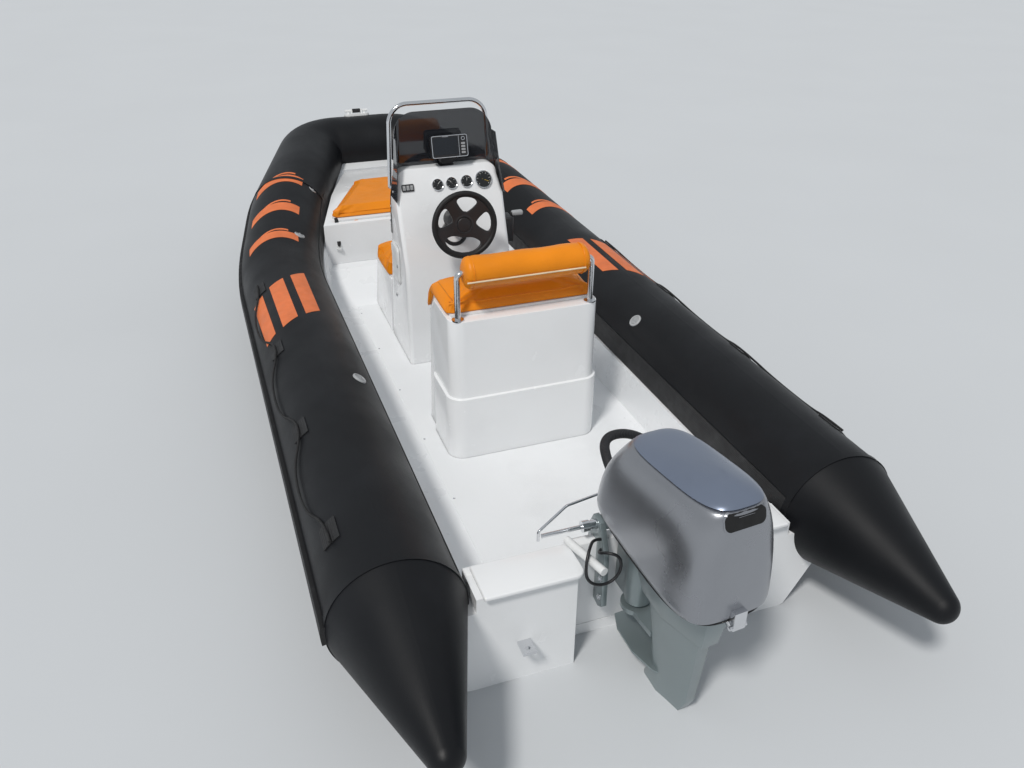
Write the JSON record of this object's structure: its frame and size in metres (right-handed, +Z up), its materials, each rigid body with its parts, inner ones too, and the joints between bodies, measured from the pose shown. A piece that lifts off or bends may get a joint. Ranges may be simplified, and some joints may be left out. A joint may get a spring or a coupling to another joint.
{
  "type": "inflatable boat with rigid hull",
  "caption": "Inflatable boat with rigid hull, black tubes, white console and seat with orange cushions, and a tilting outboard engine that steers.",
  "frame": {"origin": "on the centreline, at the aft end of the hull, at the height of the water", "axes": "+X forward to the bow, +Y to port, +Z up"},
  "size_m": [5.473, 2.188, 1.895],
  "materials": {
    "tube_skin": "satin black coated fabric",
    "black_rubber": "matt black moulded rubber",
    "hull_white": "white gelcoat",
    "deck_white": "white gelcoat with non-slip texture",
    "orange_vinyl": "orange vinyl upholstery",
    "stainless": "polished stainless steel",
    "smoked_screen": "smoked acrylic",
    "black_plastic": "black moulded plastic",
    "gauge_black": "black dial with chrome bezel",
    "white_nylon": "white moulded nylon",
    "engine_silver": "silver metallic paint",
    "engine_case": "grey-green metallic paint",
    "engine_steel": "cast block",
    "propeller_metal": "black painted alloy",
    "grey_plastic": "grey moulded plastic",
    "black_rope": "black braided rope",
    "lid_board": "white moulded board"
  },
  "bodies": {
    "boat": {"backrest": "orange_vinyl", "backrest_frame": "stainless", "bow_eye": "stainless", "bow_fairlead": "white_nylon", "bow_locker": "hull_white", "bow_roller": "black_plastic", "cable_sleeve": "white_nylon", "clamp_bracket": "engine_case", "cockpit_liner": "deck_white", "cone_port": "tube_skin", "cone_starboard": "tube_skin", "console": "hull_white", "control_box": "black_plastic", "floor_panel": "deck_white", "front_seat_base": "hull_white", "gauges": "gauge_black", "grab_rail": "stainless", "helm": "black_plastic", "hull": "hull_white", "lifeline_port": "black_rope", "lifeline_starboard": "black_rope", "line_patches": "black_rubber", "plotter": "black_plastic", "rigging_hose": "black_rubber", "rub_strake": "black_rubber", "seat_box": "hull_white", "switch_panel": "black_plastic", "tilt_tube": "stainless", "tow_eyes": "stainless", "transom_board": "hull_white", "transom_ledges": "hull_white", "tube_bow": "tube_skin", "tube_joint_strip": "black_rubber", "tube_port": "tube_skin", "tube_starboard": "tube_skin", "tube_valves": "grey_plastic", "windscreen": "smoked_screen"},
    "bow_lid": {"bow_lid": "lid_board", "bow_cushion": "orange_vinyl"},
    "front_seat_lid": {"front_seat_lid": "lid_board", "front_cushion": "orange_vinyl"},
    "seat_lid": {"seat_lid": "lid_board", "seat_cushion": "orange_vinyl"},
    "side_hatch": {"console_hatch": "white_nylon"},
    "wheel": {"steering_wheel": "black_plastic"},
    "throttle": {"control_lever": "black_plastic"},
    "tilt_bracket": {"swivel_bracket": "engine_case"},
    "steering_link": {"steering_ram": "stainless", "drag_link": "stainless"},
    "engine": {"steering_arm": "engine_case", "lower_cowl": "engine_case", "cowl": "engine_silver", "cowl_latch": "stainless", "engine_block": "engine_steel", "leg": "engine_case", "gearcase": "engine_case"},
    "propeller": {"propeller": "propeller_metal"}
  },
  "joints": [
    {"name": "bow_lid_hinge", "type": "hinge", "parent": "boat", "child": "bow_lid", "pos_m": [3.948, 0, 0.5653], "axis": [0, 1, 0], "range_deg": [0, 85]},
    {"name": "front_seat_hinge", "type": "hinge", "parent": "boat", "child": "front_seat_lid", "pos_m": [2.755, 0.022, 0.5156], "axis": [0, 1, 0], "range_deg": [0, 85]},
    {"name": "seat_lid_hinge", "type": "hinge", "parent": "boat", "child": "seat_lid", "pos_m": [1.5076, 0, 0.7355], "axis": [0, 1, 0], "range_deg": [0, 85]},
    {"name": "side_hatch_hinge", "type": "hinge", "parent": "boat", "child": "side_hatch", "pos_m": [2.314, 0.3073, 0.671], "axis": [0, 0, 1], "range_deg": [-120, 0]},
    {"name": "throttle_lever", "type": "hinge", "parent": "boat", "child": "throttle", "pos_m": [2.176, -0.3116, 0.82], "axis": [0, 1, 0], "range_deg": [-45, 60]},
    {"name": "outboard_tilt", "type": "hinge", "parent": "boat", "child": "tilt_bracket", "pos_m": [0.134, 0, 0.496], "axis": [0, 1, 0], "range_deg": [0, 65], "deforming": ["rigging_hose"]},
    {"name": "outboard_steer", "type": "hinge", "parent": "tilt_bracket", "child": "engine", "pos_m": [0.008, 0, 0.4], "axis": [0, 0, 1], "range_deg": [-35, 25], "deforming": ["rigging_hose"]},
    {"name": "steering_slide", "type": "slide", "parent": "tilt_bracket", "child": "steering_link", "axis": [0, 1, 0], "range_m": [-0.125, 0.1]},
    {"name": "helm_spin", "type": "hinge", "parent": "boat", "child": "wheel", "pos_m": [1.914, 0.028, 0.957], "axis": [-0.9848, 0, 0.1736], "range_deg": [-631, 451]},
    {"name": "propeller_spin", "type": "hinge", "parent": "engine", "child": "propeller", "pos_m": [-0.26894, -0.02423, -0.276], "axis": [0.9962, 0.0872, 0], "continuous": true}
  ],
  "couplings": [
    {"joint": "steering_slide", "follows": "outboard_steer", "m_per_rad": 0.2},
    {"joint": "helm_spin", "follows": "outboard_steer", "ratio": 18}
  ]
}
